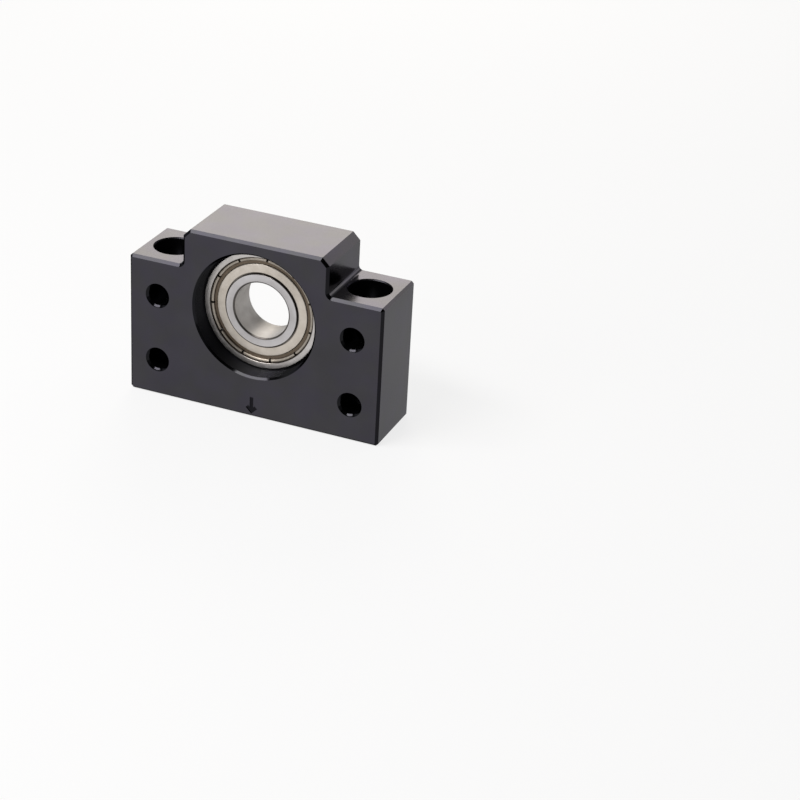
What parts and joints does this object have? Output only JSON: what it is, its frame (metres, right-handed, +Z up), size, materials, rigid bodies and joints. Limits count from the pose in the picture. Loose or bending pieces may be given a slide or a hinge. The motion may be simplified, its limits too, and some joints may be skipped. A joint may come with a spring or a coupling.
{
  "type": "ball screw end support",
  "caption": "Shouldered black steel block that carries the free end of a ball screw in a shielded ball bearing, which can float along its bore, with screw holes through face and shoulders.",
  "frame": {"origin": "middle of the base face, which stands on the machine", "axes": "+X across the block, +Y along the bearing axis from the front face to the rear face, +Z up"},
  "size_m": [0.07, 0.02, 0.048],
  "materials": {
    "black_steel": "milled steel with a satin black oxide finish",
    "outer_ring_steel": "turned and ground bearing steel",
    "inner_ring_steel": "turned and ground bearing steel",
    "shield_steel": "pressed sheet steel, dull, slightly warm",
    "cage_steel": "pressed sheet steel",
    "rivet_steel": "cold headed steel",
    "ball_steel": "polished bearing steel"
  },
  "bodies": {
    "block": {"housing": "black_steel"},
    "bearing": {"outer_ring": "outer_ring_steel", "front_shield": "shield_steel", "rear_shield": "shield_steel"},
    "inner_ring": {"inner_ring": "inner_ring_steel"},
    "cage": {"cage_front": "cage_steel", "cage_rear": "cage_steel", "cage_rivets": "rivet_steel"},
    "ball_1": {"ball_1": "ball_steel"},
    "ball_2": {"ball_2": "ball_steel"},
    "ball_3": {"ball_3": "ball_steel"},
    "ball_4": {"ball_4": "ball_steel"},
    "ball_5": {"ball_5": "ball_steel"},
    "ball_6": {"ball_6": "ball_steel"},
    "ball_7": {"ball_7": "ball_steel"},
    "ball_8": {"ball_8": "ball_steel"},
    "ball_9": {"ball_9": "ball_steel"}
  },
  "joints": [
    {"name": "bearing_float", "type": "slide", "parent": "block", "child": "bearing", "axis": [0, 1, 0], "range_m": [-0.0034, 0.0054]},
    {"name": "inner_ring_spin", "type": "hinge", "parent": "bearing", "child": "inner_ring", "pos_m": [0, -0.001, 0.028], "axis": [0, 1, 0], "continuous": true},
    {"name": "cage_spin", "type": "hinge", "parent": "bearing", "child": "cage", "pos_m": [0, -0.001, 0.028], "axis": [0, 1, 0], "continuous": true},
    {"name": "ball_1_spin", "type": "hinge", "parent": "cage", "child": "ball_1", "pos_m": [0, -0.001, 0.03975], "axis": [0, 1, 0], "continuous": true},
    {"name": "ball_2_spin", "type": "hinge", "parent": "cage", "child": "ball_2", "pos_m": [0.00755, -0.001, 0.037], "axis": [0, 1, 0], "continuous": true},
    {"name": "ball_3_spin", "type": "hinge", "parent": "cage", "child": "ball_3", "pos_m": [0.01157, -0.001, 0.03004], "axis": [0, 1, 0], "continuous": true},
    {"name": "ball_4_spin", "type": "hinge", "parent": "cage", "child": "ball_4", "pos_m": [0.01018, -0.001, 0.02212], "axis": [0, 1, 0], "continuous": true},
    {"name": "ball_5_spin", "type": "hinge", "parent": "cage", "child": "ball_5", "pos_m": [0.00402, -0.001, 0.01696], "axis": [0, 1, 0], "continuous": true},
    {"name": "ball_6_spin", "type": "hinge", "parent": "cage", "child": "ball_6", "pos_m": [-0.00402, -0.001, 0.01696], "axis": [0, 1, 0], "continuous": true},
    {"name": "ball_7_spin", "type": "hinge", "parent": "cage", "child": "ball_7", "pos_m": [-0.01018, -0.001, 0.02212], "axis": [0, 1, 0], "continuous": true},
    {"name": "ball_8_spin", "type": "hinge", "parent": "cage", "child": "ball_8", "pos_m": [-0.01157, -0.001, 0.03004], "axis": [0, 1, 0], "continuous": true},
    {"name": "ball_9_spin", "type": "hinge", "parent": "cage", "child": "ball_9", "pos_m": [-0.00755, -0.001, 0.037], "axis": [0, 1, 0], "continuous": true}
  ],
  "couplings": [
    {"joint": "cage_spin", "follows": "inner_ring_spin", "ratio": 0.39868},
    {"joint": "ball_1_spin", "follows": "inner_ring_spin", "ratio": -2.3661},
    {"joint": "ball_2_spin", "follows": "inner_ring_spin", "ratio": -2.3661},
    {"joint": "ball_3_spin", "follows": "inner_ring_spin", "ratio": -2.3661},
    {"joint": "ball_4_spin", "follows": "inner_ring_spin", "ratio": -2.3661},
    {"joint": "ball_5_spin", "follows": "inner_ring_spin", "ratio": -2.3661},
    {"joint": "ball_6_spin", "follows": "inner_ring_spin", "ratio": -2.3661},
    {"joint": "ball_7_spin", "follows": "inner_ring_spin", "ratio": -2.3661},
    {"joint": "ball_8_spin", "follows": "inner_ring_spin", "ratio": -2.3661},
    {"joint": "ball_9_spin", "follows": "inner_ring_spin", "ratio": -2.3661}
  ]
}
